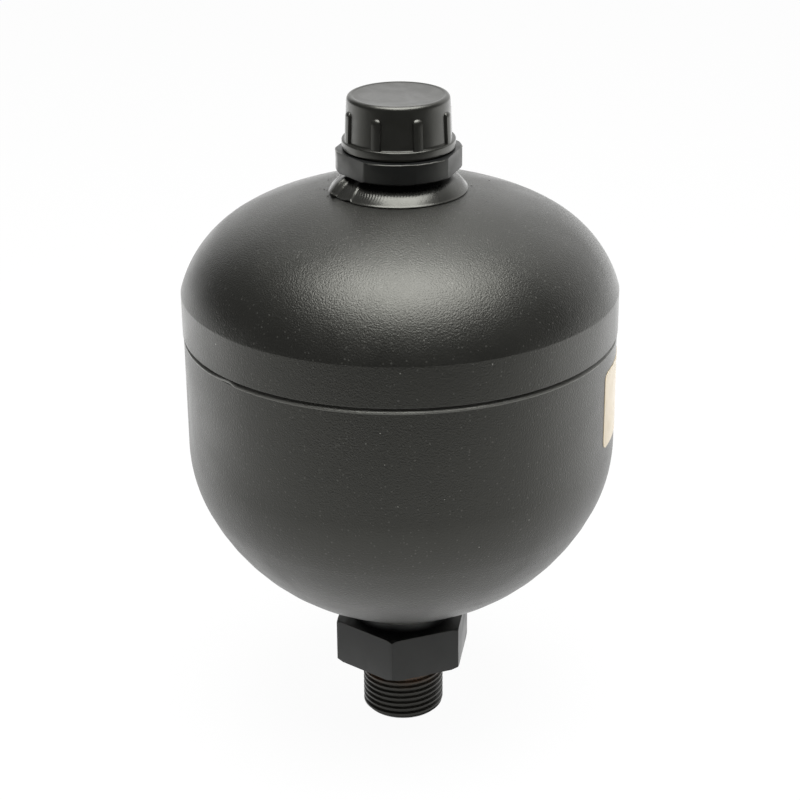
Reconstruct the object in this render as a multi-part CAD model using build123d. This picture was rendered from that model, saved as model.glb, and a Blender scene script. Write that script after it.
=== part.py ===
from build123d import *
from math import acos, cos, degrees, radians, sin, sqrt, tan
import os

# Diaphragm accumulator: a welded two-shell pressure vessel with a rubber diaphragm inside.
# Millimetres, +Z up. The origin is the centre of the fluid stub's end face, so the vessel
# stands on its port and every height is measured from there.

# ---- Vessel -------------------------------------------------------------------------------
UPPER_D = 138.0             # outside of the gas-side shell at its machined band
SEAM_STEP = 0.3             # the fluid-side shell is this much smaller in radius
WALL = 5.5                  # both shells
WELD_GAP = 1.0              # height of the butt weld between the shells
WELD_SUNK = 0.5             # the weld lies this far below the fluid-side shell's surface
RIM_CHAMFER = 0.35          # broken edge of each shell beside the weld

# Gas-side dome: a machined band, a crease, then three arcs that get flatter.
BAND_H = 13.9
CREASE_ANGLE = 16.6         # the dome leaves the band at this angle to the vertical
SHOULDER_R = 36.0
SHOULDER_END = 56.8         # elevation of the surface's normal where the arcs change
HAUNCH_R = 54.5
HAUNCH_END = 66.6
CROWN_R = 108.0

# Fluid-side bowl: a straight wall, a wide knuckle, then a spherical bottom.
STRAIGHT_H = 37.2
KNUCKLE_CENTRE_R = 21.9     # the knuckle's arc is centred this far from the axis
BOWL_FLATTENING = 2.1       # the bottom's radius is larger than the shell's by this

# ---- Fluid port: hexagon, M27 x 2 stub and through bore, turned from one bar ----------------
STUB_D = 27.0
STUB_CHAMFER = 1.3
UNDERCUT_DEPTH = 1.3
UNDERCUT_H = 3.0
STUB_L = 20.8               # end face to the underside of the hexagon
PORT_HEX_AF = 41.0
PORT_HEX_H = 15.0
PORT_HEX_FOOT_CUT = 1.97    # the corners are cut back this far, in radius, on the underside
PORT_HEX_TOP_CUT = 0.97     # and on the top
PORT_HEX_CHAMFER_ANGLE = 30.0
PORT_BORE_D = 14.0
PORT_MOUTH_CHAMFER = 1.0
PORT_NECK_D = 34.0
PORT_NECK_H = 4.52          # hexagon to the bowl's lowest point
PORT_RISE = 2.0             # the neck stands this far above the bowl's lowest inner point
SEAT_CLEARANCE = 0.5        # radial, closing button in its recess
SEAT_DEPTH = 3.4
PORT_WELD_W = 5.0
PORT_WELD_H = 3.4

# ---- Gas boss: hexagonal collar turned down to a disc, M28 x 1.5 stub, M14 x 1.5 bore -------
BOSS_NECK_D = 30.0
BOSS_INSIDE = 1.0           # the neck shows this far inside the dome
COLLAR_AF = 36.0
COLLAR_D = 39.1
BOSS_NECK_H = 5.82          # dome to the underside of the collar
COLLAR_H = 6.5
COLLAR_CHAMFER = 0.4
COLLAR_TURN = 17.35         # a flat of the collar faces this way from -Y towards +X
CAP_THREAD_D = 28.0
CAP_THREAD_L = 13.2
CAP_THREAD_CHAMFER = 1.0
CAP_UNDERCUT_DEPTH = 1.1
CAP_UNDERCUT_H = 1.6
BOSS_WELD_W = 6.4
BOSS_WELD_H = 2.6           # height of the bead against the neck
WELD_TOE = 0.35             # a bead's outer edge stands this far off the shell
WELD_CROWN = 0.5            # and its face swells this much above a straight fillet

# ---- Charging screw and its seal --------------------------------------------------------------
SCREW_D = 14.0
SCREW_L = 12.0
SCREW_HEAD_D = 19.0
SCREW_HEAD_H = 4.0
SCREW_TIP_CHAMFER = 1.0
SCREW_HEAD_CHAMFER = 0.5
SCREW_RUNOUT = 3.5          # the tapped hole is this much deeper than the screw
SCREW_SOCKET_AF = 6.0
SCREW_SOCKET_DEPTH = 5.0
SCREW_WELL_CLEARANCE = 0.7  # radial, round the head
SCREW_WELL_DEPTH = 7.0
SCREW_SEAL_INSET = 0.3      # the seal's rim lies this far inside the head's
SCREW_SEAL_H = 1.5
GAS_PASSAGE_D = 5.0
THREAD_CLEARANCE = 0.05     # radial, screw in its tapped hole

# ---- Protective cap -----------------------------------------------------------------------------
CAP_WALL = 2.25             # at the foot, under the ribs
CAP_TAPER = 0.3             # the cap narrows by this, in radius, towards its top
CAP_FLANGE_OUT = 1.15       # the flange stands this far out of the wall
CAP_FLANGE_H = 2.4
CAP_FLANGE_ROUND = 0.5
CAP_LIFT = 0.6              # slit between the collar and the flange
CAP_TOP_ROUND = 1.6
CAP_H = 16.1
CAP_CEILING = 1.8
CAP_RIM_W = 1.95            # flat rim round the dished top
CAP_DISH_DEPTH = 0.25
CAP_THREAD_CLEARANCE = 0.2  # radial, cap on its stub
RIB_COUNT = 8
RIB_W = 3.0
RIB_PROUD = 0.75            # the ribs stand this far out of the wall's foot
RIB_TOP_DROP = 3.6          # the rounded rib ends stop this far below the cap's top
RIB_TURN = -15.5            # one rib faces this way from -Y towards +X
CAP_SEAL_W = 2.9

# ---- Diaphragm, the rings that clamp it and the button it carries ------------------------------
RING_T = 3.0                # support ring behind the weld
RING_H = 20.0
RING_RECESS = 1.0           # each shell is bored out this much, in radius, to take the ring
RING_LIP_W = 4.0            # lip that holds the diaphragm's bead down
RING_LIP_H = 2.5
RING_LIP_Z = 2.0            # underside of the lip above the seam
RING_CHAMFER = 1.0          # lower inner edge, where the rubber turns outwards
FIT = 0.02                  # radial, ring pressed into the shells
SOFT_GAP = 0.3              # between rubber and the metal it lies against
SQUEEZE_GAP = 0.15          # between clamped rubber and its rings
DIAPHRAGM_T = 2.2
BEAD_D = 5.4
BEAD_TOP_GAP = 0.5          # between the bead and the lip that holds it down
CLAMP_T = 2.4
CLAMP_H = 5.5
CLAMP_ROUND = 0.6
SKIRT_RUN = 7.0             # height in which the rubber swings from the wall to the clamp
HUB_D = 30.0                # thick middle of the diaphragm
HUB_T = 4.0
BUTTON_D = 25.4
BUTTON_CHAMFER = 0.5
BUTTON_PLAY = 0.05          # button and washer against the rubber
STEM_D = 8.0
STEM_HOLE_CLEARANCE = 0.2
WASHER_D = 22.0
WASHER_T = 1.5
WASHER_ROUND = 0.5
RIVET_HEAD_D = 13.0
RIVET_HEAD_H = 2.4
RIVET_HEAD_ROUND = 1.9

# ---- Label --------------------------------------------------------------------------------------
LABEL_W = 54.0
LABEL_H = 25.5
LABEL_T = 0.15
LABEL_DROP = 6.5            # top edge below the seam
LABEL_ROUND = 2.5
LABEL_EDGE_TURN = 75.5      # its near edge faces this way from -Y towards +X

# ---- Derived places -----------------------------------------------------------------------------
UPPER_R = UPPER_D / 2
LOWER_R = UPPER_R - SEAM_STEP
BOWL_R = LOWER_R + BOWL_FLATTENING
KNUCKLE_R = LOWER_R - KNUCKLE_CENTRE_R
BOWL_ANGLE = degrees(acos(KNUCKLE_CENTRE_R / (BOWL_R - KNUCKLE_R)))
HEX_TOP_Z = STUB_L + PORT_HEX_H
BOWL_CENTRE_Z = HEX_TOP_Z + PORT_NECK_H + BOWL_R
TANGENT_Z = BOWL_CENTRE_Z - (BOWL_R - KNUCKLE_R) * sin(radians(BOWL_ANGLE))
SEAM_Z = TANGENT_Z + STRAIGHT_H
CREASE_Z = SEAM_Z + BAND_H
PORT_TOP_Z = BOWL_CENTRE_Z - BOWL_R + WALL + PORT_RISE
SEAT_Z = PORT_TOP_Z - SEAT_DEPTH
HUB_Z = PORT_TOP_Z + SOFT_GAP
RING_R = LOWER_R - WALL + RING_RECESS
RING_BORE_R = RING_R - RING_T
BEAD_Z = SEAM_Z + RING_LIP_Z - BEAD_TOP_GAP - BEAD_D / 2
CAP_BORE_R = CAP_THREAD_D / 2 + CAP_THREAD_CLEARANCE
CAP_FOOT_R = CAP_BORE_R + CAP_WALL
CAP_TOP_R = CAP_FOOT_R - CAP_TAPER


def turned(*outline):
    """A solid of revolution about Z from outline edges given as (radius, height)."""
    return revolve(Plane.XZ * make_face(outline), Axis.Z)


def turned_polygon(*points):
    return turned(Polyline(*points, close=True))


def tube(outer_d, inner_d, bottom, top):
    return turned_polygon(
        (inner_d / 2, bottom), (outer_d / 2, bottom), (outer_d / 2, top), (inner_d / 2, top)
    )


def hexagon(across_flats, bottom, height, turn=0.0):
    """A hexagonal prism. With no turn its corners point to -Y and +Y."""
    outline = RegularPolygon(across_flats / 2, 6, major_radius=False, rotation=30 + turn)
    return Pos(0, 0, bottom) * extrude(outline, height)


def crown_angle(radius, inset=0.0):
    """Elevation on the gas-side dome's top arc at this radius, inset into the wall."""
    return degrees(acos((radius - dome_centres()[2][0]) / (CROWN_R - inset)))


def dome_centres():
    """Centres of the gas-side dome's shoulder, haunch and crown arcs."""
    shoulder = Vector(
        UPPER_R - SHOULDER_R * cos(radians(CREASE_ANGLE)),
        CREASE_Z - SHOULDER_R * sin(radians(CREASE_ANGLE)),
    )
    along = Vector(cos(radians(SHOULDER_END)), sin(radians(SHOULDER_END)))
    haunch = shoulder + along * (SHOULDER_R - HAUNCH_R)
    along = Vector(cos(radians(HAUNCH_END)), sin(radians(HAUNCH_END)))
    crown = haunch + along * (HAUNCH_R - CROWN_R)
    return [(c.X, c.Y) for c in (shoulder, haunch, crown)]


def dome_height(radius, inset=0.0):
    """Height of the dome's top arc at this radius."""
    along = radians(crown_angle(radius, inset))
    return dome_centres()[2][1] + (CROWN_R - inset) * sin(along)


COLLAR_BOTTOM_Z = dome_height(BOSS_NECK_D / 2) + BOSS_NECK_H
COLLAR_TOP_Z = COLLAR_BOTTOM_Z + COLLAR_H
BOSS_TOP_Z = COLLAR_TOP_Z + CAP_THREAD_L
WELL_Z = BOSS_TOP_Z - SCREW_WELL_DEPTH
CAP_BOTTOM_Z = COLLAR_TOP_Z + CAP_LIFT
CAP_TOP_Z = CAP_BOTTOM_Z + CAP_H
CEILING_Z = CAP_TOP_Z - CAP_CEILING


def bowl_height(radius, inset=0.0):
    """Height of the bowl's spherical bottom at this radius."""
    return BOWL_CENTRE_Z - sqrt((BOWL_R - inset) ** 2 - radius**2)


def dome_solid(inset, hole_d, bottom):
    """Everything under the gas-side dome, inset into its wall, round a hole in its top."""
    shoulder, haunch, crown = dome_centres()
    wall_r = UPPER_R - inset
    start = degrees(acos((wall_r - shoulder[0]) / (SHOULDER_R - inset)))
    hole_r = hole_d / 2
    end = crown_angle(hole_r, inset)
    arcs = [
        CenterArc(shoulder, SHOULDER_R - inset, start, SHOULDER_END - start),
        CenterArc(haunch, HAUNCH_R - inset, SHOULDER_END, HAUNCH_END - SHOULDER_END),
        CenterArc(crown, CROWN_R - inset, HAUNCH_END, end - HAUNCH_END),
    ]
    wall = Line((wall_r, bottom), arcs[0] @ 0)
    rest = Polyline(arcs[2] @ 1, (hole_r, bottom), (wall_r, bottom))
    return turned(wall, *arcs, rest)


def bowl_arcs(inset, end_r):
    """The bowl's knuckle and spherical bottom, from the straight wall inwards to end_r."""
    knuckle = CenterArc(
        (KNUCKLE_CENTRE_R, TANGENT_Z), KNUCKLE_R - inset, 0, -BOWL_ANGLE
    )
    end = -degrees(acos(end_r / (BOWL_R - inset)))
    bottom = CenterArc((0, BOWL_CENTRE_Z), BOWL_R - inset, -BOWL_ANGLE, end + BOWL_ANGLE)
    return [knuckle, bottom]


def bowl_solid(inset, hole_d, top):
    """Everything above the fluid-side bowl, inset into its wall, round a hole in its bottom."""
    arcs = bowl_arcs(inset, hole_d / 2)
    wall = Line((LOWER_R - inset, top), arcs[0] @ 0)
    rest = Polyline(arcs[1] @ 1, (hole_d / 2, top), (LOWER_R - inset, top))
    return turned(wall, *arcs, rest)


def make_upper_shell():
    bottom = SEAM_Z + WELD_GAP / 2
    shell = dome_solid(0, BOSS_NECK_D, bottom) - dome_solid(WALL, BOSS_NECK_D / 2, bottom)
    shell -= tube(2 * RING_R, BOSS_NECK_D, bottom, SEAM_Z + RING_H / 2)
    rim = shell.edges().filter_by(GeomType.CIRCLE).group_by(Axis.Z)[0].sort_by(SortBy.RADIUS)
    return chamfer(rim[-1], RIM_CHAMFER)


def make_lower_shell():
    top = SEAM_Z - WELD_GAP / 2
    shell = bowl_solid(0, PORT_NECK_D, top) - bowl_solid(WALL, PORT_NECK_D / 2, top)
    shell -= tube(2 * RING_R, PORT_NECK_D, SEAM_Z - RING_H / 2, top)
    rim = shell.edges().filter_by(GeomType.CIRCLE).group_by(Axis.Z)[-1].sort_by(SortBy.RADIUS)
    return chamfer(rim[-1], RIM_CHAMFER)


def make_girth_weld():
    """A narrow butt weld through the wall, a little below the surface, with a crowned face."""
    half = WELD_GAP / 2
    face = LOWER_R - WELD_SUNK
    return turned(
        Line((face, SEAM_Z + half), (RING_R, SEAM_Z + half)),
        Line((RING_R, SEAM_Z + half), (RING_R, SEAM_Z - half)),
        Line((RING_R, SEAM_Z - half), (face, SEAM_Z - half)),
        ThreePointArc(
            (face, SEAM_Z - half), (face + WELD_SUNK / 2, SEAM_Z), (face, SEAM_Z + half)
        ),
    )


def make_support_ring():
    """Backs the weld, centres the shells and holds the diaphragm's bead down with its lip."""
    bore = RING_BORE_R
    outer = RING_R - FIT
    low, high = SEAM_Z - RING_H / 2, SEAM_Z + RING_H / 2
    lip = SEAM_Z + RING_LIP_Z
    ring = turned_polygon(
        (bore, low),
        (outer, low),
        (outer, high),
        (bore, high),
        (bore, lip + RING_LIP_H),
        (bore - RING_LIP_W, lip + RING_LIP_H),
        (bore - RING_LIP_W, lip),
        (bore, lip),
    )
    ends = ring.edges().filter_by(GeomType.CIRCLE).filter_by_position(Axis.Z, low, low)
    return chamfer(ends.sort_by(SortBy.RADIUS)[0], RING_CHAMFER)


def make_clamp_ring():
    """Presses the diaphragm's skirt outwards, just under the bead."""
    outer = RING_BORE_R - DIAPHRAGM_T - 2 * SQUEEZE_GAP
    top = BEAD_Z - BEAD_D / 2 - SQUEEZE_GAP
    ring = tube(2 * outer, 2 * (outer - CLAMP_T), top - CLAMP_H, top)
    return fillet(ring.edges().filter_by(GeomType.CIRCLE), CLAMP_ROUND)


def make_diaphragm():
    """Moulded cup: round bead, skirt, wall that lies against the bowl, thick drilled hub."""
    outer = WALL + SOFT_GAP
    inner = outer + DIAPHRAGM_T
    bore = RING_BORE_R - SQUEEZE_GAP
    skirt_z = SEAM_Z - RING_H / 2 - SOFT_GAP
    wall_z = skirt_z - SKIRT_RUN
    hub_r = HUB_D / 2
    hole_r = STEM_D / 2 + STEM_HOLE_CLEARANCE
    flat_r = sqrt((BOWL_R - outer) ** 2 - (BOWL_CENTRE_Z - HUB_Z) ** 2)
    out_arcs = bowl_arcs(outer, flat_r)
    in_arcs = bowl_arcs(inner, hub_r + DIAPHRAGM_T)
    hub_top = HUB_Z + HUB_T
    cup = turned(
        Spline(
            (bore, skirt_z),
            (LOWER_R - outer, wall_z),
            tangents=((0, -1), (0, -1)),
        ),
        Line((LOWER_R - outer, wall_z), out_arcs[0] @ 0),
        *out_arcs,
        Polyline(out_arcs[1] @ 1, (hole_r, HUB_Z), (hole_r, hub_top), (hub_r, hub_top)),
        Spline((hub_r, hub_top), in_arcs[1] @ 1, tangents=((1, 0), -(in_arcs[1] % 1))),
        *in_arcs,
        Line(in_arcs[0] @ 0, (LOWER_R - inner, wall_z)),
        Spline(
            (LOWER_R - inner, wall_z),
            (bore - DIAPHRAGM_T, skirt_z),
            tangents=((0, 1), (0, 1)),
        ),
        Polyline(
            (bore - DIAPHRAGM_T, skirt_z), (bore - DIAPHRAGM_T, BEAD_Z), (bore, BEAD_Z),
            (bore, skirt_z),
        ),
    )
    bead = Torus(bore - BEAD_D / 2, BEAD_D / 2)
    return cup + Pos(0, 0, BEAD_Z) * bead


def make_closing_button():
    """Plate that shuts the port, its stem through the diaphragm and the riveted-over end."""
    plate_top = HUB_Z - BUTTON_PLAY
    washer_top = HUB_Z + HUB_T + BUTTON_PLAY + WASHER_T
    plate = Pos(0, 0, SEAT_Z) * extrude(Circle(BUTTON_D / 2), plate_top - SEAT_Z)
    plate = chamfer(plate.edges().group_by(Axis.Z)[-1], BUTTON_CHAMFER)
    stem = Pos(0, 0, plate_top) * extrude(Circle(STEM_D / 2), washer_top - plate_top)
    head = Pos(0, 0, washer_top) * extrude(Circle(RIVET_HEAD_D / 2), RIVET_HEAD_H)
    head = fillet(head.edges().group_by(Axis.Z)[-1], RIVET_HEAD_ROUND)
    return plate + stem + head


def make_button_washer():
    bottom = HUB_Z + HUB_T + BUTTON_PLAY
    hole_d = STEM_D + 2 * THREAD_CLEARANCE
    washer = tube(WASHER_D, hole_d, bottom, bottom + WASHER_T)
    rim = washer.edges().filter_by(GeomType.CIRCLE).group_by(Axis.Z)[-1]
    return fillet(rim.sort_by(SortBy.RADIUS)[-1], WASHER_ROUND)


def make_fluid_port():
    stub = turned_polygon(
        (0, 0),
        (STUB_D / 2 - STUB_CHAMFER, 0),
        (STUB_D / 2, STUB_CHAMFER),
        (STUB_D / 2, STUB_L - UNDERCUT_H),
        (STUB_D / 2 - UNDERCUT_DEPTH, STUB_L - UNDERCUT_H + UNDERCUT_DEPTH),
        (STUB_D / 2 - UNDERCUT_DEPTH, STUB_L),
        (0, STUB_L),
    )
    corner_r = PORT_HEX_AF / sqrt(3)
    foot_r, top_r = corner_r - PORT_HEX_FOOT_CUT, corner_r - PORT_HEX_TOP_CUT
    slope = tan(radians(PORT_HEX_CHAMFER_ANGLE))
    envelope = turned_polygon(
        (0, STUB_L),
        (foot_r, STUB_L),
        (corner_r, STUB_L + PORT_HEX_FOOT_CUT * slope),
        (corner_r, HEX_TOP_Z - PORT_HEX_TOP_CUT * slope),
        (top_r, HEX_TOP_Z),
        (0, HEX_TOP_Z),
    )
    body = hexagon(PORT_HEX_AF, STUB_L, PORT_HEX_H) & envelope
    neck = Pos(0, 0, HEX_TOP_Z) * Cylinder(
        PORT_NECK_D / 2, PORT_TOP_Z - HEX_TOP_Z, align=(Align.CENTER, Align.CENTER, Align.MIN)
    )
    bore_r = PORT_BORE_D / 2
    seat_r = BUTTON_D / 2 + SEAT_CLEARANCE
    bore = turned_polygon(
        (0, 0),
        (bore_r + PORT_MOUTH_CHAMFER, 0),
        (bore_r, PORT_MOUTH_CHAMFER),
        (bore_r, SEAT_Z),
        (seat_r, SEAT_Z),
        (seat_r, PORT_TOP_Z),
        (0, PORT_TOP_Z),
    )
    return stub + body + neck - bore


def fillet_bead(neck_d, width, shell_height, rise):
    """A welded fillet round a neck: a swollen face from the neck down, or up, to the shell."""
    neck_r = neck_d / 2
    toe_r = neck_r + width
    out = 1 if rise > 0 else -1
    root = Vector(neck_r, shell_height(neck_r))
    under = Vector(toe_r, shell_height(toe_r))
    toe = under + Vector(0, out * WELD_TOE)
    top = root + Vector(0, rise)
    middle = (top + toe) * 0.5
    swell = Vector(1, out) * (WELD_CROWN / sqrt(2))
    between = (neck_r + toe_r) / 2
    return turned(
        Line(root, top),
        ThreePointArc(top, middle + swell, toe),
        Line(toe, under),
        ThreePointArc(under, (between, shell_height(between)), root),
    )


def make_gas_boss():
    """Neck through the dome, collar to hold it by, stub for the cap, tapped charging bore."""
    neck_bottom = dome_height(BOSS_NECK_D / 2, WALL) - BOSS_INSIDE
    thread_r = CAP_THREAD_D / 2
    undercut_r = thread_r - CAP_UNDERCUT_DEPTH
    undercut_top = COLLAR_TOP_Z + CAP_UNDERCUT_H
    turned_part = turned_polygon(
        (0, neck_bottom),
        (BOSS_NECK_D / 2, neck_bottom),
        (BOSS_NECK_D / 2, COLLAR_BOTTOM_Z),
        (undercut_r, COLLAR_BOTTOM_Z),
        (undercut_r, undercut_top),
        (thread_r, undercut_top + CAP_UNDERCUT_DEPTH),
        (thread_r, BOSS_TOP_Z - CAP_THREAD_CHAMFER),
        (thread_r - CAP_THREAD_CHAMFER, BOSS_TOP_Z),
        (0, BOSS_TOP_Z),
    )
    disc = turned_polygon(
        (0, COLLAR_BOTTOM_Z),
        (COLLAR_D / 2 - COLLAR_CHAMFER, COLLAR_BOTTOM_Z),
        (COLLAR_D / 2, COLLAR_BOTTOM_Z + COLLAR_CHAMFER),
        (COLLAR_D / 2, COLLAR_TOP_Z - COLLAR_CHAMFER),
        (COLLAR_D / 2 - COLLAR_CHAMFER, COLLAR_TOP_Z),
        (0, COLLAR_TOP_Z),
    )
    flat_turn = COLLAR_TURN - 30
    collar = hexagon(COLLAR_AF, COLLAR_BOTTOM_Z, COLLAR_H, flat_turn) & disc
    shank_bottom = WELL_Z + SCREW_SEAL_H - SCREW_L - SCREW_RUNOUT
    well_r = SCREW_HEAD_D / 2 + SCREW_WELL_CLEARANCE
    bore = turned_polygon(
        (0, neck_bottom),
        (GAS_PASSAGE_D / 2, neck_bottom),
        (GAS_PASSAGE_D / 2, shank_bottom),
        (SCREW_D / 2, shank_bottom),
        (SCREW_D / 2, WELL_Z),
        (well_r, WELL_Z),
        (well_r, BOSS_TOP_Z),
        (0, BOSS_TOP_Z),
    )
    return turned_part + collar - bore


def make_charging_screw():
    head_z = WELL_Z + SCREW_SEAL_H
    shank = Pos(0, 0, head_z - SCREW_L) * extrude(Circle(SCREW_D / 2 - THREAD_CLEARANCE), SCREW_L)
    shank = chamfer(shank.edges().group_by(Axis.Z)[0], SCREW_TIP_CHAMFER)
    head = Pos(0, 0, head_z) * extrude(Circle(SCREW_HEAD_D / 2), SCREW_HEAD_H)
    head = chamfer(head.edges().group_by(Axis.Z)[-1], SCREW_HEAD_CHAMFER)
    top = head_z + SCREW_HEAD_H
    socket = hexagon(SCREW_SOCKET_AF, top - SCREW_SOCKET_DEPTH, SCREW_SOCKET_DEPTH)
    return shank + head - socket


def make_screw_seal():
    outer_d = SCREW_HEAD_D - 2 * SCREW_SEAL_INSET
    return tube(outer_d, SCREW_D + 2 * SQUEEZE_GAP, WELL_Z, WELL_Z + SCREW_SEAL_H)


def make_protective_cap():
    """Moulded cup with a flange, a dished top and round-ended grip ribs."""
    flange_top = CAP_BOTTOM_Z + CAP_FLANGE_H
    body = turned_polygon(
        (0, CAP_BOTTOM_Z), (CAP_FOOT_R, CAP_BOTTOM_Z), (CAP_TOP_R, CAP_TOP_Z), (0, CAP_TOP_Z)
    )
    body = fillet(body.edges().group_by(Axis.Z)[-1], CAP_TOP_ROUND)
    flange = Pos(0, 0, CAP_BOTTOM_Z) * extrude(Circle(CAP_FOOT_R + CAP_FLANGE_OUT), CAP_FLANGE_H)
    flange = fillet(flange.edges().group_by(Axis.Z)[-1], CAP_FLANGE_ROUND)
    rib_r = CAP_FOOT_R + RIB_PROUD - RIB_W / 2
    rib_end = CAP_TOP_Z - RIB_TOP_DROP - RIB_W / 2
    rib_foot = flange_top - CAP_FLANGE_ROUND
    post = Pos(0, 0, rib_foot) * extrude(Circle(RIB_W / 2), rib_end - rib_foot)
    rib = Pos(0, -rib_r, 0) * (post + Pos(0, 0, rib_end) * Sphere(RIB_W / 2))
    cap = body + flange
    for number in range(RIB_COUNT):
        cap += Rot(0, 0, RIB_TURN + number * 360 / RIB_COUNT) * rib
    dish_r = CAP_TOP_R - CAP_RIM_W
    dish = turned_polygon(
        (0, CAP_TOP_Z),
        (dish_r, CAP_TOP_Z),
        (dish_r - CAP_DISH_DEPTH, CAP_TOP_Z - CAP_DISH_DEPTH),
        (0, CAP_TOP_Z - CAP_DISH_DEPTH),
    )
    bore = turned_polygon(
        (0, CAP_BOTTOM_Z), (CAP_BORE_R, CAP_BOTTOM_Z), (CAP_BORE_R, CEILING_Z), (0, CEILING_Z)
    )
    return cap - dish - bore


def make_cap_seal():
    """Flat ring between the end of the stub and the cap's ceiling."""
    outer_d = CAP_THREAD_D - 2 * CAP_THREAD_CHAMFER + 2 * SQUEEZE_GAP
    return tube(outer_d, outer_d - 2 * CAP_SEAL_W, BOSS_TOP_Z, CEILING_Z)


def make_data_label():
    """Thin bare sticker with rounded corners, wrapped on the fluid-side shell."""
    skin = tube(2 * (LOWER_R + LABEL_T), 2 * LOWER_R, TANGENT_Z, SEAM_Z - WELD_GAP)
    half_turn = LABEL_W / 2 / radians(1) / LOWER_R
    chord = 2 * LOWER_R * sin(radians(half_turn))
    outline = Plane.XZ * RectangleRounded(chord, LABEL_H, LABEL_ROUND)
    block = Pos(0, 0, SEAM_Z - LABEL_DROP - LABEL_H / 2) * extrude(outline, LOWER_R + 2 * LABEL_T)
    return (Rot(0, 0, LABEL_EDGE_TURN + half_turn) * block) & skin


def main():
    os.makedirs("parts", exist_ok=True)
    makers = {
        "upper_shell": make_upper_shell,
        "lower_shell": make_lower_shell,
        "girth_weld": make_girth_weld,
        "support_ring": make_support_ring,
        "clamp_ring": make_clamp_ring,
        "diaphragm": make_diaphragm,
        "closing_button": make_closing_button,
        "button_washer": make_button_washer,
        "fluid_port": make_fluid_port,
        "gas_boss": make_gas_boss,
        "charging_screw": make_charging_screw,
        "charging_screw_seal": make_screw_seal,
        "protective_cap": make_protective_cap,
        "cap_seal": make_cap_seal,
        "data_label": make_data_label,
    }
    solids = {name: make() for name, make in makers.items()}
    solids["fluid_port_weld"] = fillet_bead(PORT_NECK_D, PORT_WELD_W, bowl_height, -PORT_WELD_H)
    solids["gas_boss_weld"] = fillet_bead(BOSS_NECK_D, BOSS_WELD_W, dome_height, BOSS_WELD_H)
    for name, solid in solids.items():
        export_step(solid, f"parts/{name}.step")


main()
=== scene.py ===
from math import acos, atan2, cos, degrees, exp, floor, hypot, pi, radians, sin, sqrt, tan, tau

import bmesh
import bpy
from bpy.props import FloatProperty, FloatVectorProperty, IntProperty, PointerProperty
from bpy.types import Operator, Panel, PropertyGroup
from mathutils import Matrix, Vector, noise


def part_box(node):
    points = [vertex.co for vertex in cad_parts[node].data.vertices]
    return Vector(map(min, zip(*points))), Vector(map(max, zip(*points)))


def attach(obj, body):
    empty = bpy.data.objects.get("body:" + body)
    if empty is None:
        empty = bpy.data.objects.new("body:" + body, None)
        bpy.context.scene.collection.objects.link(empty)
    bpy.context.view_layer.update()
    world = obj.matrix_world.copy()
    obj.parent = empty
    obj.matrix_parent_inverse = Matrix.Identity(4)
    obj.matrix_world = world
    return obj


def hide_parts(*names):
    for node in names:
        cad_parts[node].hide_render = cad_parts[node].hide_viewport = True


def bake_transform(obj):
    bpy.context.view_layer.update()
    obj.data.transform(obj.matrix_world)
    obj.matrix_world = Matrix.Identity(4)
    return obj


bl_info = {
    "name": "Diaphragm accumulator",
    "version": (1, 0, 0),
    "blender": (4, 5, 0),
    "location": "3D View > Sidebar > Accumulator",
    "description": "Paint, weld beads, threads and stage for a welded diaphragm accumulator",
    "category": "Object",
}

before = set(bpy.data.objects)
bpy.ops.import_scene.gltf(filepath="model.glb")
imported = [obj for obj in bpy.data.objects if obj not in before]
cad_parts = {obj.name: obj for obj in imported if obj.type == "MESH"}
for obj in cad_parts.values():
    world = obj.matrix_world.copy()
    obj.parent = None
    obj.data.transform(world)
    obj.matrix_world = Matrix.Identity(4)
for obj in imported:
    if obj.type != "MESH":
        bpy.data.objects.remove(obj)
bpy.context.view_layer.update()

MM = 0.001
LATHE_STEPS = 160           # facets round a turned piece
FLANK = tan(radians(30))    # slope of a thread's flank and of a hexagon's chamfer
# Crown, haunch and shoulder of the dome, in mm: centre's radius and height above the seam, radius
DOME_ARCS = ((3.123, -60.965, 108.0), (24.370, -11.865, 54.5), (34.5, 3.615, 36.0))
# Where the shoulder starts, and where it and the haunch end, in degrees from the outward direction
SHOULDER_START, SHOULDER_END, HAUNCH_END = 18.5, 56.8, 66.6
FACE_PUSH = 1.4 * MM        # how far the collar's front and back flats stand out past the others
OLIVE = (1.0, 1.0, 0.91)    # tint of what the black paint and plastic reflect


# ---- Places read from the frame ------------------------------------------------------------------
def low(node):
    """Lowest point of a node."""
    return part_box(node)[0].z


def high(node):
    """Highest point of a node."""
    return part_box(node)[1].z


def reach(node):
    """Largest radius of a round node."""
    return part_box(node)[1].x


SEAM_Z = (low("girth_weld") + high("girth_weld")) / 2
VESSEL_R = reach("upper_shell")
BOWL_R = reach("lower_shell")
COLLAR_TOP_Z = low("protective_cap") - 0.6 * MM
CAP_THREAD_Z = COLLAR_TOP_Z + 2 * MM        # lower end of the thread between the boss and the cap

# The lower shell's knuckle and bottom: centres (radius, height), outer radii, and where they meet
KNUCKLE = (21.9 * MM, SEAM_Z - 37.2 * MM)
KNUCKLE_R = BOWL_R - KNUCKLE[0]
BOTTOM_R = BOWL_R + 2.1 * MM
SWING = degrees(acos(KNUCKLE[0] / (BOTTOM_R - KNUCKLE_R)))
BOTTOM = (0, KNUCKLE[1] + (BOTTOM_R - KNUCKLE_R) * sin(radians(SWING)))


# ---- Settings that a user would change -------------------------------------------------------------
def length(name, default, description):
    return number(name, default, description, unit="LENGTH")


def angle(name, default, description):
    return FloatProperty(
        name=name, description=description, default=radians(default), unit="ROTATION"
    )


def number(name, default, description, **limits):
    return FloatProperty(name=name, description=description, default=default, min=0.0, **limits)


def colour(name, default, description):
    return FloatVectorProperty(
        name=name, description=description, default=default, subtype="COLOR", size=3, min=0, max=1
    )


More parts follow.
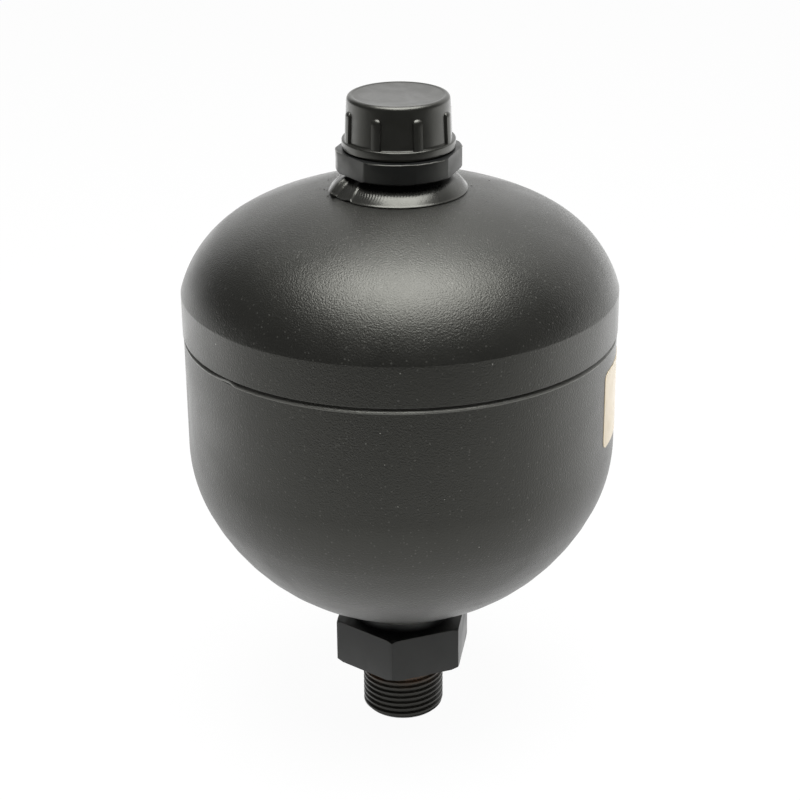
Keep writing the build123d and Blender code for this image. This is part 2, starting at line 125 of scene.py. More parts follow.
class AccumulatorSizes(PropertyGroup):
    wall: length("Wall", 5.5 * MM, "Thickness of both shells")
    port_pitch: length("Port pitch", 2.0 * MM, "Pitch of the thread on the fluid stub")
    port_hex: length("Port hexagon", 41.0 * MM, "Across the flats of the lower hexagon")
    port_hex_height: length("Port hexagon height", 15.0 * MM, "Height of the lower hexagon")
    port_stub: length("Port stub", 20.8 * MM, "Stub from its end to the hexagon")
    cap_pitch: length("Cap pitch", 1.5 * MM, "Pitch of the thread under the cap")
    collar_hex: length("Collar", 36.0 * MM, "Across the flats of the upper collar")
    collar_height: length("Collar height", 6.5 * MM, "Height of the upper collar")
    rib_count: IntProperty(name="Ribs", description="Grip ribs round the cap", default=8, min=2)
    rib_turn: angle("Rib turn", -15.5, "Direction of the first grip rib from -Y towards +X")
    collar_turn: angle("Collar turn", 17.35, "Direction that a flat of the collar faces")
    ripple_pitch: length("Ripple pitch", 0.95 * MM, "Spacing of the weld ripples")
    ripple_depth: length("Ripple depth", 0.09 * MM, "Height of the weld ripples")
    spatter_count: IntProperty(
        name="Spatter", description="Weld spatter drops round each bead", default=70, min=0
    )


class AccumulatorFinish(PropertyGroup):
    shell: colour("Shell paint", (0.0085, 0.0085, 0.0076), "Black paint on both shells")
    fitting: colour("Fitting paint", (0.0105, 0.0112, 0.0114), "Black paint on the turned fittings")
    cap: colour("Cap", (0.0072, 0.0072, 0.0062), "Moulded plastic of the cap")
    rubber: colour("Rubber", (0.010, 0.010, 0.010), "Diaphragm and seals")
    label: colour("Label", (0.53, 0.43, 0.27), "Bare film of the label")
    rust: colour("Rust", (0.072, 0.038, 0.019), "Rust in the fluid thread")
    peel: length("Orange peel", 0.52 * MM, "Size of the paint's orange peel")


class AccumulatorStage(PropertyGroup):
    lens: number("Lens", 94.8, "Focal length in millimetres")
    stand_off: length("Stand-off", 625.4 * MM, "Camera to the vessel's axis, on the level")
    height: length("Height", 244.7 * MM, "Camera above the seam")
    azimuth: angle("Azimuth", 9.0, "Camera's direction from -Y towards +X")
    pan: angle("Pan", 0.027, "Camera turns left from the vessel's axis by this")
    pitch: angle("Pitch", 23.418, "Camera looks down by this")
    roll: angle("Roll", -0.498, "Camera's tilt about its view")
    key_size: length("Key size", 0.80, "Across the round softbox overhead")
    key_height: length("Key height", 0.75, "Softbox overhead above the seam")
    key_power: number("Key power", 16.6, "Watts of the softbox overhead")
    backdrop: number("Backdrop", 1.3, "Brightness of the studio behind the object")
    foreground: number("Foreground", 0.12, "Brightness of the studio in front of the object")
    table_front: length("Table front", 0.40, "Table's edge in front of the vessel's axis")
    table_near: number("Table near", 1.22, "Brightness of the table under the object")
    table_far: number("Table far", 1.15, "Brightness of the table away from the object")
    side_turn: angle("Side turn", -0.0524, "Direction in which the table is darkest in reflections")
    table_sides: number("Table sides", 2.1, "Brightness of the table beside and behind the object")
    table_glow: number("Table glow", 0.96, "Share of the table's look that is glow, not shading")
    backdrop_turn: angle("Backdrop turn", 171.0, "Middle of the backdrop, from -Y towards +X")


def sizes():
    return bpy.context.scene.accumulator_sizes


def finish():
    return bpy.context.scene.accumulator_finish


# ---- Modelling helpers --------------------------------------------------------------------------------
def deselect_all():
    for selected in list(bpy.context.selected_objects):
        selected.select_set(False)


def take(piece):
    """Makes a piece the only selected and active object."""
    deselect_all()
    piece.select_set(True)
    bpy.context.view_layer.objects.active = piece


def settle(piece, name):
    """Names a new primitive and puts its place, turn and size into its mesh."""
    take(piece)
    bpy.ops.object.transform_apply(location=True, rotation=True, scale=True)
    piece.name = name
    piece.data.name = name
    return piece


def edit(piece):
    take(piece)
    bpy.ops.object.mode_set(mode="EDIT")
    bpy.ops.mesh.select_mode(type="VERT")


def leave():
    bpy.ops.object.mode_set(mode="OBJECT")


def pick(piece, wanted, kind="verts"):
    """In edit mode, selects the vertices or faces that pass a test on their middle."""
    mesh = bmesh.from_edit_mesh(piece.data)
    bpy.ops.mesh.select_all(action="DESELECT")
    for item in getattr(mesh, kind):
        if wanted(item.co if kind == "verts" else item.calc_center_median()):
            item.select_set(True)
    mesh.select_flush_mode()
    bmesh.update_edit_mesh(piece.data)


def pick_rims():
    """In edit mode, selects the open rims."""
    bpy.ops.mesh.select_all(action="DESELECT")
    bpy.ops.mesh.select_non_manifold(extend=False, use_wire=False, use_multi_face=False)


def face_out():
    """In edit mode, turns all faces outwards, and leaves."""
    bpy.ops.mesh.select_all(action="SELECT")
    bpy.ops.mesh.normals_make_consistent(inside=False)
    leave()


def arc(centre, radius, start, end, count):
    """Points (radius, height) of an arc, angles in degrees from the outward direction."""
    turns = [radians(start + (end - start) * i / count) for i in range(count + 1)]
    return [(centre[0] + radius * cos(t), centre[1] + radius * sin(t)) for t in turns]


def ease(start, end, count=8):
    """Points (radius, height) from a start, left out, to an end. The radius eases in and out."""
    shares = [i / count for i in range(1, count + 1)]
    run, rise = end[0] - start[0], end[1] - start[1]
    return [(start[0] + run * s * s * (3 - 2 * s), start[1] + rise * s) for s in shares]


def turned(name, outline, steps=LATHE_STEPS, solid=False):
    """A turned piece: a ring is extruded from point to point of its outline (radius, height).
    The outline closes on itself, or a solid one is closed by a flat at each end."""
    deselect_all()
    radius, height = outline[0]
    bpy.ops.mesh.primitive_circle_add(vertices=steps, radius=radius, location=(0, 0, height))
    piece = settle(bpy.context.object, name)
    edit(piece)
    bpy.ops.mesh.select_all(action="SELECT")
    for next_radius, next_height in outline[1:]:
        bpy.ops.mesh.extrude_edges_indiv()
        bpy.ops.transform.translate(value=(0, 0, next_height - height))
        scale = next_radius / radius
        bpy.ops.transform.resize(value=(scale, scale, 1), center_override=(0, 0, next_height))
        radius, height = next_radius, next_height
    pick_rims()
    if solid:
        bpy.ops.mesh.fill_holes(sides=0)
    else:
        bpy.ops.mesh.bridge_edge_loops()
    face_out()
    return piece


def hex_prism(name, across_flats, bottom, height, turn=0.0):
    """A hexagonal bar. With no turn its corners point to -Y and +Y."""
    deselect_all()
    bpy.ops.mesh.primitive_cylinder_add(
        vertices=6, radius=across_flats / sqrt(3), depth=height,
        location=(0, 0, bottom + height / 2), rotation=(0, 0, turn),
    )
    return settle(bpy.context.object, name)


def apply_modifier(piece, kind, **settings):
    take(piece)
    modifier = piece.modifiers.new(kind.title(), kind)
    for key, value in settings.items():
        setattr(modifier, key, value)
    bpy.ops.object.modifier_apply(modifier=modifier.name)


def machine(piece, tool, operation):
    """Cuts a piece with a tool body, or joins or trims it to one, and uses the tool up."""
    apply_modifier(piece, "BOOLEAN", object=tool, operation=operation, solver="EXACT")
    bpy.data.objects.remove(tool)


def bevel_edges(piece, width):
    """Rounds a machined piece's edges."""
    apply_modifier(
        piece, "BEVEL", width=width, segments=3, limit_method="ANGLE", angle_limit=radians(25),
        use_clamp_overlap=True,
    )


def machine_turned(piece, outline, operation):
    """Cuts a piece with a turned tool, or joins or trims it to one."""
    machine(piece, turned("tool", outline, solid=True), operation)


def smooth(piece, limit=35):
    take(piece)
    bpy.ops.object.shade_smooth_by_angle(angle=radians(limit))


def helix(name, outer_r, inner_r, outer_w, inner_w, start, pitch, rounds):
    """A closed helical bar of trapezium section, right-handed, starting above +X."""
    deselect_all()
    middle_r = (outer_r + inner_r) / 2
    bpy.ops.mesh.primitive_plane_add(size=1, location=(middle_r, 0, start), rotation=(pi / 2, 0, 0))
    bar = settle(bpy.context.object, name)
    edit(bar)
    bpy.ops.mesh.select_all(action="SELECT")
    bpy.ops.transform.resize(
        value=(outer_r - inner_r, 1, outer_w), center_override=(middle_r, 0, start)
    )
    pick(bar, lambda co: co.x < middle_r)
    bpy.ops.transform.resize(value=(1, 1, inner_w / outer_w), center_override=(inner_r, 0, start))
    bpy.ops.mesh.select_all(action="SELECT")
    bpy.ops.mesh.delete(type="ONLY_FACE")
    leave()
    apply_modifier(
        bar, "SCREW", axis="Z", angle=tau, screw_offset=pitch, iterations=rounds, steps=96,
        render_steps=96, use_merge_vertices=False,
    )
    edit(bar)
    bpy.ops.mesh.select_all(action="SELECT")
    bpy.ops.mesh.remove_doubles(threshold=1e-4 * MM)
    pick_rims()
    bpy.ops.mesh.fill_holes(sides=0)
    face_out()
    return bar


def cut_thread(piece, major_r, pitch, bottom, top, fill=0.0):
    """Cuts a right-hand 60 degree thread from below bottom to top. fill is the share of its
    depth that thick paint leaves filled."""
    depth = 0.6134 * pitch * (1 - fill)
    over = 0.06 * pitch
    crest_gap = pitch * 7 / 8 - 0.5 * fill * pitch
    first = bottom - pitch * 1.25
    cutter = helix(
        "thread_cutter", major_r + over, major_r - depth, crest_gap + 2 * over * FLANK,
        crest_gap - 2 * depth * FLANK, first, pitch, int((top - first) / pitch) + 1,
    )
    machine(piece, cutter, "DIFFERENCE")


def direction(point):
    """Direction of a point seen from above, from -Y towards +X."""
    return atan2(point.x, -point.y)


def ripple(piece, across, pitch, depth, slant, seed):
    """Lays weld ripples round a bead. across gives a point's place from the neck, 0, to the toe, 1,
    or None off the bead's face. Each ripple curves back at its ends as the weld pool did."""
    bead = bmesh.new()
    bead.from_mesh(piece.data)
    bead.normal_update()
    moves = []
    for vert in bead.verts:
        share = across(vert.co)
        if share is None:
            continue
        around = direction(vert.co) * hypot(vert.co.x, vert.co.y)
        wander = noise.noise(vert.co * 180 + Vector((seed, 0, 0))) * pitch
        curve = slant * pitch * (2 * share - 1) ** 2
        phase = (around + wander + curve) / pitch
        crest = 1 - abs(2 * (phase - floor(phase)) - 1) ** 1.5
        swell = noise.noise(vert.co * 90 + Vector((0, seed, 0)))
        moves.append((vert, vert.normal * sin(pi * share) * depth * (crest - 0.5 + 1.5 * swell)))
    for vert, move in moves:
        vert.co += move
    bead.to_mesh(piece.data)
    bead.free()


def heap(piece, turn, spread, out, up):
    """Raises a bead where its run starts and stops: out and up at a direction in degrees, over a
    spread in degrees. It falls off five times as steeply towards larger directions."""
    for vert in piece.data.vertices:
        away = (direction(vert.co) - radians(turn) + pi) % tau - pi
        fall = radians(spread) * (1 if away < 0 else 0.2)
        rise = exp(-((away / fall) ** 2))
        vert.co.xy *= 1 + out * rise / hypot(vert.co.x, vert.co.y)
        vert.co.z += up * rise


def fillet_bead(name, top, toe, hollow, seed, heaps):
    """A rippled fillet bead from the top of its face on a neck to its toe on a shell, both
    (radius, height). The face is hollow by a depth and ends in a rolled rim. It is sunk into both
    parts. heaps are the lumps where its run starts and stops."""
    rim, sunk = 0.3 * MM, 1.2 * MM
    down = 1 if top[1] > toe[1] else -1
    run, rise = toe[0] - top[0], toe[1] - top[1]
    long = hypot(run, rise)
    face = []
    for share in (row / 20 for row in range(19)):
        dip = hollow * sin(pi * share) / long
        face.append((top[0] + run * share - dip * abs(rise), top[1] + rise * share - down * dip * run))
    roll = [
        (toe[0] - rim + rim * cos(t), toe[1] + down * rim * sin(t))
        for t in (radians(75 - 25 * i) for i in range(7))
    ]
    root = top[0] - sunk
    under = toe[1] - down * sunk
    outline = [(root, top[1]), *face, *roll, (toe[0] - 1.5 * rim, under), (root, under)]
    bead = turned(name, outline, steps=600)

    def across(point):
        share = (hypot(point.x, point.y) - top[0]) / run
        return share if 0 < share < 0.93 and down * (point.z - toe[1]) >= 0 else None

    ripple(bead, across, sizes().ripple_pitch, sizes().ripple_depth, 2.2, seed)
    for lump in heaps:
        heap(bead, *lump)
    smooth(bead, 60)
    return bead


def dress(piece, slot, body, *nodes, coat=None):
    """Finishes a new piece: its material, body and the CAD nodes it stands for. The material is the slot's,
    unless another coat is named."""
    piece.data.materials.clear()
    piece.data.materials.append(material_for(coat or slot))
    if body:
        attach(piece, body)
    if nodes:
        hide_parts(*nodes)


def paint(material, *nodes):
    """Gives CAD nodes their finish."""
    for node in nodes:
        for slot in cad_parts[node].material_slots:
            slot.material = material_for(material)


# ---- Shader helpers ------------------------------------------------------------------------------
def add_node(tree, kind, inputs=None, **settings):
    """Adds a shader node. An input is a value, or an output socket to link from."""
    made = tree.nodes.new(kind)
    for key, value in settings.items():
        setattr(made, key, value)
    for socket, value in (inputs or {}).items():
        if isinstance(value, bpy.types.NodeSocket):
            tree.links.new(value, made.inputs[socket])
        else:
            made.inputs[socket].default_value = value
    return made


def new_group(name, inputs, outputs):
    """A shader node group with named number inputs and outputs, and its two end nodes."""
    group = bpy.data.node_groups.new(name, "ShaderNodeTree")
    for label, default in inputs.items():
        socket = group.interface.new_socket(label, in_out="INPUT", socket_type="NodeSocketFloat")
        socket.default_value = default
    for label in outputs:
        group.interface.new_socket(label, in_out="OUTPUT", socket_type="NodeSocketFloat")
    start = group.nodes.new("NodeGroupInput")
    end = group.nodes.new("NodeGroupOutput")
    return group, start, end


def use_group(tree, name, build, **values):
    """Uses a node group, which is built when it is first asked for."""
    made = tree.nodes.new("ShaderNodeGroup")
    made.node_tree = bpy.data.node_groups.get(name) or build(name)
    for label, value in values.items():
        made.inputs[label].default_value = value
    return made.outputs[0]


def math(tree, operation, first, second=0.0):
    made = add_node(tree, "ShaderNodeMath", {0: first, 1: second}, operation=operation)
    return made.outputs[0]


def ramp(tree, value, start, end, least=0.0, most=1.0, kind="SMOOTHSTEP"):
    """Turns a value between start and end into one between least and most."""
    inputs = {"Value": value, "From Min": start, "From Max": end, "To Min": least, "To Max": most}
    return add_node(tree, "ShaderNodeMapRange", inputs, interpolation_type=kind).outputs[0]


def blend_colour(tree, share, first, second):
    """Mixes two colours. Each is a colour or an output socket."""
    ends = [
        value if isinstance(value, bpy.types.NodeSocket) else (*value, 1.0)
        for value in (first, second)
    ]
    inputs = {0: share, 6: ends[0], 7: ends[1]}
    return add_node(tree, "ShaderNodeMix", inputs, data_type="RGBA").outputs[2]


def along(tree, point, turn):
    """How far a point lies in a direction, from -Y towards +X."""
    inputs = {0: point, 1: (sin(turn), -cos(turn), 0)}
    made = add_node(tree, "ShaderNodeVectorMath", inputs, operation="DOT_PRODUCT")
    return made.outputs["Value"]


def object_point(tree):
    return tree.nodes.new("ShaderNodeTexCoord").outputs["Object"]


def radius_and_height(tree):
    split = add_node(tree, "ShaderNodeSeparateXYZ", {"Vector": object_point(tree)})
    squares = [math(tree, "MULTIPLY", split.outputs[i], split.outputs[i]) for i in (0, 1)]
    return math(tree, "SQRT", math(tree, "ADD", *squares)), split.outputs[2]


def noise_over(group, point, size, **inputs):
    """Noise with cells of a size."""
    inputs.update(Vector=point, Scale=math(group, "DIVIDE", 1.0, size))
    return add_node(group, "ShaderNodeTexNoise", inputs).outputs["Fac"]


def build_grain(name):
    """Fine relief of a cell size in metres: orange peel, moulded texture or pits."""
    group, start, end = new_group(name, {"Size": 0.001, "Roughen": 0.5}, ["Height"])
    size, roughen = start.outputs["Size"], start.outputs["Roughen"]
    fine = noise_over(group, object_point(group), size, Detail=2.0, Roughness=roughen)
    group.links.new(fine, end.inputs["Height"])
    return group


def build_smudge(name):
    """Slow cloudy change over the surface, from 0 to 1."""
    group, start, end = new_group(name, {"Size": 0.03}, ["Mask"])
    clouds = noise_over(
        group, object_point(group), start.outputs["Size"], Detail=4.0, Roughness=0.6, Distortion=0.6
    )
    group.links.new(ramp(group, clouds, 0.35, 0.68), end.inputs["Mask"])
    return group


def build_specks(name):
    """Small dust specks: a mask that is 1 on a few dots, one in so many cells."""
    group, start, end = new_group(name, {"Spacing": 0.004, "Radius": 0.0002, "Share": 0.3}, ["Mask"])
    spacing = start.outputs["Spacing"]
    cells = add_node(
        group, "ShaderNodeTexVoronoi",
        {"Vector": object_point(group), "Scale": math(group, "DIVIDE", 1.0, spacing)},
    )
    cell = add_node(group, "ShaderNodeSeparateColor", {"Color": cells.outputs["Color"]})
    chosen = math(group, "LESS_THAN", cell.outputs[0], start.outputs["Share"])
    ratio = math(group, "DIVIDE", start.outputs["Radius"], spacing)
    sized = math(group, "MULTIPLY", ratio, cell.outputs[1])
    inside = math(group, "LESS_THAN", cells.outputs["Distance"], sized)
    group.links.new(math(group, "MULTIPLY", chosen, inside), end.inputs["Mask"])
    return group


def build_lathe_marks(name):
    """Fine rings left by turning, from radius and height."""
    group, start, end = new_group(name, {"Size": 0.0004}, ["Height"])
    radius, height = radius_and_height(group)
    place = add_node(group, "ShaderNodeCombineXYZ", {0: radius, 1: 0.0, 2: height})
    rings = noise_over(group, place.outputs[0], start.outputs["Size"], Detail=1.0)
    group.links.new(rings, end.inputs["Height"])
    return group


def new_material(name, base_colour, roughness, metallic=0.0, specular=0.5, tint=(1, 1, 1)):
    material = bpy.data.materials.new(name)
    material.use_nodes = True
    tree = material.node_tree
    shader = tree.nodes["Principled BSDF"]
    shader.inputs["Base Color"].default_value = (*base_colour, 1.0)
    shader.inputs["Roughness"].default_value = roughness
    shader.inputs["Metallic"].default_value = metallic
    shader.inputs["Specular IOR Level"].default_value = specular
    shader.inputs["Specular Tint"].default_value = (*tint, 1.0)
    material.diffuse_color = (*base_colour, 1.0)
    return material, tree, shader


def bump(tree, shader, height, depth, under=None):
    """Relief of a depth in metres, on top of another relief if there is one."""
    made = add_node(tree, "ShaderNodeBump", {"Height": height, "Distance": depth, "Strength": 1.0})
    if under is not None:
        tree.links.new(under, made.inputs["Normal"])
    tree.links.new(made.outputs[0], shader.inputs["Normal"])
    return made.outputs[0]


def clouds(tree, size):
    """A slow cloudy mask."""
    return use_group(tree, "Smudges", build_smudge, Size=size)


def vary_roughness(tree, shader, size, least, most):
    """Lets the roughness wander between two values over clouds of a size."""
    spread = ramp(tree, clouds(tree, size), 0.0, 1.0, least, most, "LINEAR")
    tree.links.new(spread, shader.inputs["Roughness"])


def grain(tree, shader, size, depth, roughen=0.5, under=None, mask=None):
    """Fine relief of a cell size and a depth, where a mask lets it."""
    height = use_group(tree, "Fine relief", build_grain, Size=size, Roughen=roughen)
    if mask is not None:
        height = math(tree, "MULTIPLY", height, mask)
    return bump(tree, shader, height, depth, under)


def lathe_marks(tree, shader, size, depth):
    """Relief of fine turned rings of a spacing and a depth."""
    return bump(tree, shader, use_group(tree, "Lathe marks", build_lathe_marks, Size=size), depth)


# ---- Materials -----------------------------------------------------------------------------------
def shell_paint():
    """Satin black paint: orange peel, smudges, dust, and pits round the gas boss."""
    material, tree, shader = new_material("shell_paint", finish().shell, 0.33, tint=OLIVE)
    vary_roughness(tree, shader, 0.035, 0.34, 0.41)
    coat = finish().shell
    for spacing, radius, share, dust in (
        (1.1 * MM, 0.34 * MM, 0.45, (0.034, 0.034, 0.031)), (4.5 * MM, 0.24 * MM, 0.4, (0.16, 0.16, 0.145)),
    ):
        values = {"Spacing": spacing, "Radius": radius, "Share": share}
        coat = blend_colour(tree, use_group(tree, "Dust specks", build_specks, **values), coat, dust)
    tree.links.new(coat, shader.inputs["Base Color"])
    peel = grain(tree, shader, finish().peel, 0.125 * MM)
    near_boss = ramp(tree, radius_and_height(tree)[0], 22 * MM, 40 * MM, 1.0, 0.0)
    grain(tree, shader, 0.4 * MM, 0.13 * MM, 0.7, under=peel, mask=near_boss)
    return material


def fitting_paint(name="fitting_paint", tint=(1, 1, 0.96), share=1.0):
    """Thin black paint over turned steel, with rust in the thread below the hexagon. A share
    under 1 darkens the paint."""
    coat = tuple(share * value for value in finish().fitting)
    material, tree, shader = new_material(name, coat, 0.34, specular=0.34, tint=tint)
    vary_roughness(tree, shader, 0.012, 0.32, 0.44)
    marks = lathe_marks(tree, shader, 0.35 * MM, 0.006 * MM)
    grain(tree, shader, 0.6 * MM, 0.012 * MM, under=marks)
    height = radius_and_height(tree)[1]
    foot = sizes().port_stub
    on_stub = math(tree, "LESS_THAN", height, foot)
    dull = blend_colour(tree, on_stub, coat, (0.027, 0.026, 0.021))
    rusty = math(tree, "MULTIPLY", ramp(tree, height, foot - 10 * MM, foot - 4 * MM), on_stub)
    rusty = math(tree, "MULTIPLY", rusty, math(tree, "ADD", clouds(tree, 0.006), 0.35))
    tree.links.new(blend_colour(tree, rusty, dull, finish().rust), shader.inputs["Base Color"])
    return material


def weld_paint(name="weld_paint", base_colour=(0.016, 0.016, 0.0145), smoothest=0.22):
    """The shell's paint where it has run thin and glossy over a weld bead. A copy with a pale base colour
    is painted light instead: a painted highlight and lightened shade.
    """
    material, tree, shader = new_material(name, base_colour, smoothest + 0.04, tint=OLIVE)
    vary_roughness(tree, shader, 0.008, smoothest, smoothest + 0.12)
    grain(tree, shader, 0.5 * MM, 0.02 * MM, 0.6)
    return material


def cap_plastic():
    """Black moulded plastic with a fine eroded texture."""
    material, tree, shader = new_material("cap_plastic", finish().cap, 0.36, specular=0.6, tint=OLIVE)
    vary_roughness(tree, shader, 0.01, 0.29, 0.38)
    grain(tree, shader, 0.22 * MM, 0.012 * MM, 0.6)
    return material


def rubber():
    """Matt black moulded rubber."""
    material, tree, shader = new_material("nitrile_rubber", finish().rubber, 0.7, specular=0.4)
    vary_roughness(tree, shader, 0.02, 0.62, 0.8)
    grain(tree, shader, 0.3 * MM, 0.015 * MM)
    return material


def turned_steel(name, base_colour, roughness):
    """Bare or plated steel with rings left by turning."""
    material, tree, shader = new_material(name, base_colour, roughness, metallic=1.0)
    vary_roughness(tree, shader, 0.01, roughness - 0.05, roughness + 0.1)
    lathe_marks(tree, shader, 0.3 * MM, 0.008 * MM)
    return material


def label_film():
    """Bare beige film with a thin clear coat."""
    material, tree, shader = new_material("label_foil", finish().label, 0.4)
    shader.inputs["Coat Weight"].default_value = 0.15
    shader.inputs["Coat Roughness"].default_value = 0.25
    vary_roughness(tree, shader, 0.015, 0.34, 0.46)
    return material


MAKERS = {
    "shell_paint": shell_paint,
    "fitting_paint": fitting_paint,
    "boss_paint": lambda: fitting_paint("boss_paint", OLIVE, 0.6),
    "weld_paint": weld_paint,
    # A lighter copy of the weld paint. Its pale base is painted light: a painted highlight on the seam's
    # lip and the collar's burr, and lightened shade in the seam's groove and round the port weld.
    "seam_paint": lambda: weld_paint("seam_paint", (0.075, 0.075, 0.069), 0.34),
    "cap_plastic": cap_plastic,
    "nitrile_rubber": rubber,
    "bare_steel": lambda: turned_steel("bare_steel", (0.50, 0.50, 0.49), 0.34),
    "zinc_steel": lambda: turned_steel("zinc_steel", (0.62, 0.62, 0.58), 0.28),
    "label_foil": label_film,
}


def material_for(name):
    """A material by its key in MAKERS, made when it is first asked for."""
    full_name = name + "_finish"
    if full_name not in bpy.data.materials:
        MAKERS[name]().name = full_name
    return bpy.data.materials[full_name]


# ---- Operators -----------------------------------------------------------------------------------
class PieceOperator(Operator):
    """Shared settings of the operators below."""

    bl_options = {"REGISTER", "UNDO"}


class ACCUMULATOR_OT_shells(PieceOperator):
    """Presses the two shells: a shouldered dome above, a straight wall and a bowl below"""

    bl_idname = "accumulator.shells"
    bl_label = "Shells"

    def execute(self, context):
        wall = sizes().wall
        recess = reach("support_ring") + 0.02 * MM
        for name, outline in (("upper", self.upper(wall, recess)), ("lower", self.lower(wall, recess))):
            shell = turned(f"{name}_shell_pressing", outline, steps=256)
            smooth(shell)
            dress(shell, "shell_paint", "vessel", f"{name}_shell")
        return {"FINISHED"}

    def dome(self, inset, hole, count):
        """The dome's arcs from its band up to a hole, moved in by an inset."""
        crown, haunch, shoulder = (
            ((r * MM, SEAM_Z + z * MM), radius * MM - inset) for r, z, radius in DOME_ARCS
        )
        tip = degrees(acos((hole - crown[0][0]) / crown[1]))
        return [
            *arc(*shoulder, SHOULDER_START - 1.9, SHOULDER_START - 1.3, 1),
            *arc(*shoulder, SHOULDER_START, SHOULDER_END, count)[:-1],
            *arc(*haunch, SHOULDER_END, HAUNCH_END, count // 4)[:-1],
            *arc(*crown, HAUNCH_END, tip, count // 2),
        ]

    def upper(self, wall, recess):
        lip = SEAM_Z + 0.85 * MM
        crease = SEAM_Z + 13.9 * MM
        hole, corner = 15.05 * MM, 0.2 * MM
        return [
            (VESSEL_R - wall, high("support_ring")), (recess, high("support_ring")), (recess, lip),
            (VESSEL_R - 1.5 * corner, lip),
            *arc((VESSEL_R - corner, lip + corner), corner, -80, -10, 4),
            (VESSEL_R, lip + 0.35 * MM), (VESSEL_R, crease - 0.45 * MM),
            (VESSEL_R, crease - 0.1 * MM), *self.dome(0, hole, 40),
            *reversed(self.dome(wall, hole, 24)), (VESSEL_R - wall, crease),
        ]

    def lower(self, wall, recess):
        lip = SEAM_Z - 0.8 * MM
        hole, corner = 17.05 * MM, 0.08 * MM
        tip, tip_in = (degrees(acos(hole / (BOTTOM_R - inset))) for inset in (0, wall))
        return [
            (recess, lip), (BOWL_R - corner, lip), (BOWL_R, lip - corner), (BOWL_R, lip - 0.6 * MM),
            *arc(KNUCKLE, KNUCKLE_R, 0, -SWING, 36), *arc(BOTTOM, BOTTOM_R, -SWING, -tip, 10)[1:],
            *arc(BOTTOM, BOTTOM_R - wall, -tip_in, -SWING, 8),
            *arc(KNUCKLE, KNUCKLE_R - wall, -SWING, 0, 20)[1:],
            (BOWL_R - wall, low("support_ring")), (recess, low("support_ring")),
        ]


class ACCUMULATOR_OT_girth_weld(PieceOperator):
    """Lays the sunk weld bead between the shells, with the lump where it starts and stops"""

    bl_idname = "accumulator.girth_weld"
    bl_label = "Girth weld"

    def execute(self, context):
        face = BOWL_R + 0.08 * MM
        back = reach("girth_weld") - 2.8 * MM
        top, bottom = SEAM_Z + 1.1 * MM, SEAM_Z - 1.5 * MM
        outline = [
            (back, top), (face - 1.3 * MM, top), (face - 1.2 * MM, SEAM_Z + 0.45 * MM),
            *[(face - (0.82 - 0.1 * i) * MM, SEAM_Z + (0.10 - 0.098 * i) * MM) for i in range(9)],
            (face, SEAM_Z - 0.80 * MM), (face - 0.02 * MM, SEAM_Z - 0.95 * MM),
            (face - 0.2 * MM, bottom), (back, bottom),
        ]
        bead = turned("girth_weld_bead", outline, steps=720)

        def across(point):
            share = (SEAM_Z + 0.3 * MM - point.z) / (1.2 * MM)
            return share if 0 < share < 1 and hypot(point.x, point.y) > face - 1 * MM else None

        ripple(bead, across, 1.6 * MM, 0.05 * MM, 0.5, 3.0)
        heap(bead, -39, 6, 0.15 * MM, 0.95 * MM)
        smooth(bead, 50)
        # The bead wears the pale coat: painted light, a painted highlight on the lower lip and lightened
        # shade in the groove above it.
        dress(bead, "weld_paint", "vessel", "girth_weld", coat="seam_paint")
        return {"FINISHED"}


class ACCUMULATOR_OT_boss_weld(PieceOperator):
    """Lays the fillet bead round the gas boss"""

    bl_idname = "accumulator.boss_weld"
    bl_label = "Gas boss weld"

    def execute(self, context):
        toe = (reach("gas_boss_weld"), low("gas_boss_weld") + 0.35 * MM)
        top = (15.2 * MM, high("gas_boss_weld") + 1.8 * MM)
        heaps = ((-58, 15, 1.5 * MM, 0.9 * MM), (-36, 6, -0.2 * MM, 0.6 * MM))
        bead = fillet_bead("gas_boss_weld_bead", top, toe, -0.6 * MM, 11.0, heaps)
        dress(bead, "weld_paint", "vessel", "gas_boss_weld")
        return {"FINISHED"}


class ACCUMULATOR_OT_port_weld(PieceOperator):
    """Lays the fillet bead round the fluid port's neck"""

    bl_idname = "accumulator.port_weld"
    bl_label = "Fluid port weld"

    def execute(self, context):
        toe = (reach("fluid_port_weld"), high("fluid_port_weld") - 0.45 * MM)
        top = (17.4 * MM, low("fluid_port_weld"))
        heaps = ((50, 12, 0.5 * MM, -0.3 * MM),)
        bead = fillet_bead("fluid_port_weld_bead", top, toe, 0.1 * MM, 29.0, heaps)
        # The bead wears the pale coat, which lightens the shade round the port's neck: painted light.
        dress(bead, "weld_paint", "vessel", "fluid_port_weld", coat="seam_paint")
        return {"FINISHED"}


